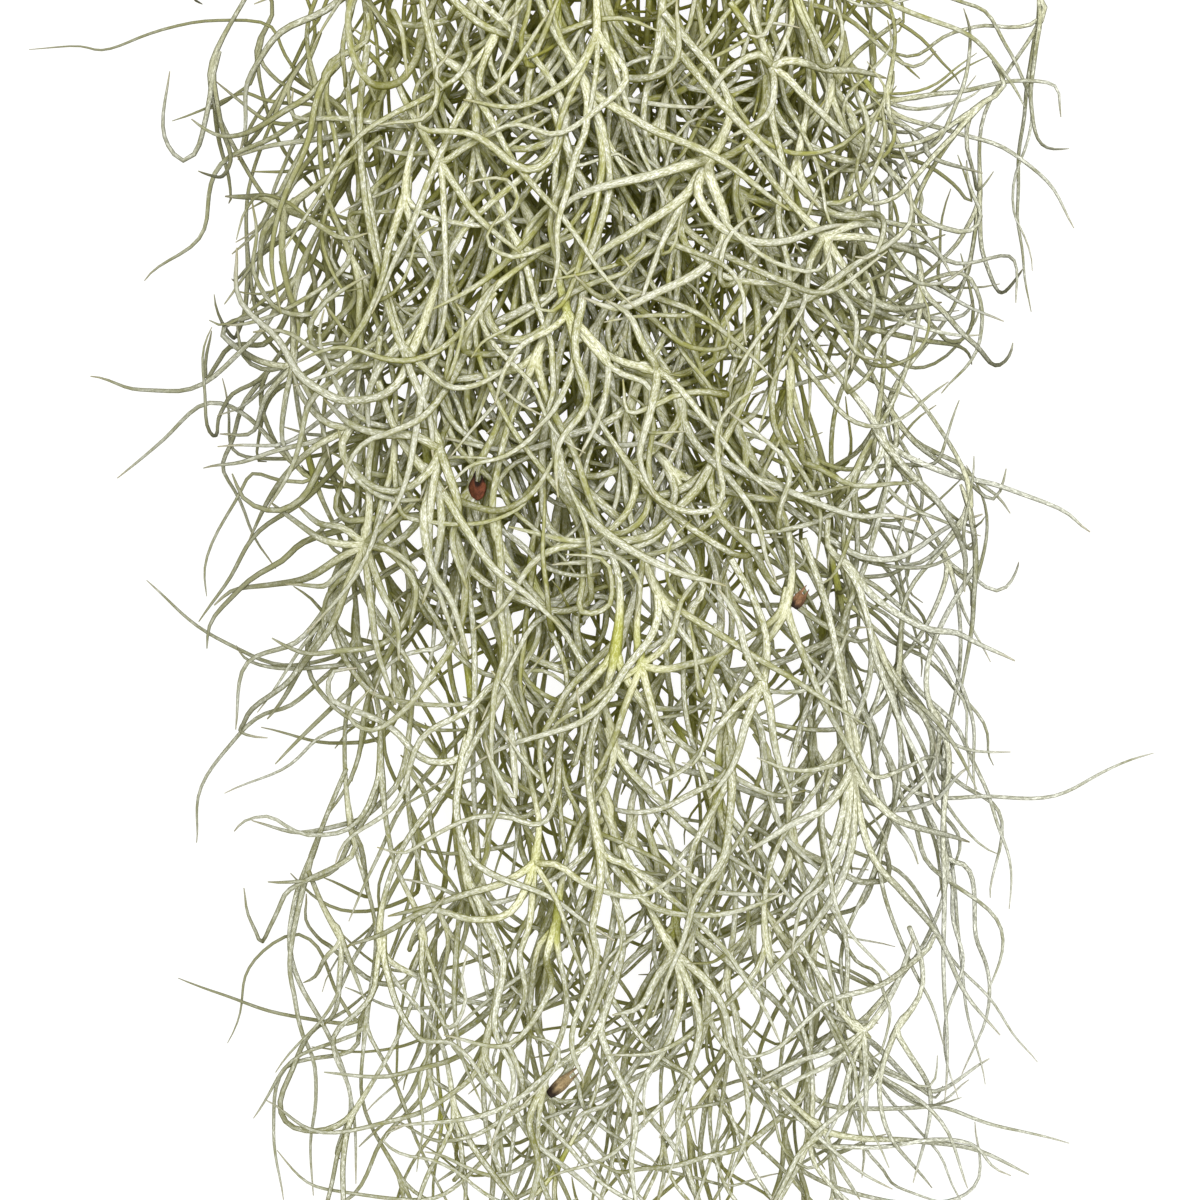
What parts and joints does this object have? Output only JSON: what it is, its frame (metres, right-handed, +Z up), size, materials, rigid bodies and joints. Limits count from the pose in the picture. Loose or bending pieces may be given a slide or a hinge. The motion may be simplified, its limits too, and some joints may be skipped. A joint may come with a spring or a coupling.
{
  "type": "spanish moss bunch",
  "caption": "Loose laid-down bunch of grey-green air plant: long wiry stems with thread-like curling leaves at every joint and a few dry brown bracts.",
  "frame": {"origin": "middle of the footprint, on the surface the bunch lies on", "axes": "+Z up from the surface; +Y along the bunch, from its hanging tips to its gathered, picked end; +X across it"},
  "size_m": [0.1944, 0.3448, 0.0569],
  "materials": {
    "moss_silver": "matt silvery scales over grey-green",
    "moss_green": "matt soft green with fine pale scales",
    "moss_olive": "matt olive green in the depth of the bunch",
    "dry_brown": "dry matt brown"
  },
  "bodies": {
    "root": {"dry_bract_lower": "dry_brown", "dry_bract_side": "dry_brown", "dry_bract_upper": "dry_brown", "strand_01": "moss_olive", "strand_02": "moss_olive", "strand_03": "moss_olive", "strand_04": "moss_olive", "strand_05": "moss_olive", "strand_06": "moss_olive", "strand_07": "moss_green", "strand_08": "moss_olive", "strand_09": "moss_green", "strand_10": "moss_green", "strand_11": "moss_olive", "strand_12": "moss_green", "strand_13": "moss_green", "strand_14": "moss_green", "strand_15": "moss_silver", "strand_16": "moss_olive", "strand_17": "moss_silver", "strand_18": "moss_green", "strand_19": "moss_green", "strand_20": "moss_silver", "strand_21": "moss_green", "strand_22": "moss_silver", "strand_23": "moss_silver", "strand_24": "moss_olive", "strand_25": "moss_silver", "strand_26": "moss_green", "strand_27": "moss_silver", "strand_28": "moss_silver", "strand_29": "moss_olive", "strand_30": "moss_silver", "strand_31": "moss_silver", "strand_32": "moss_green", "strand_33": "moss_silver"}
  },
  "joints": []
}
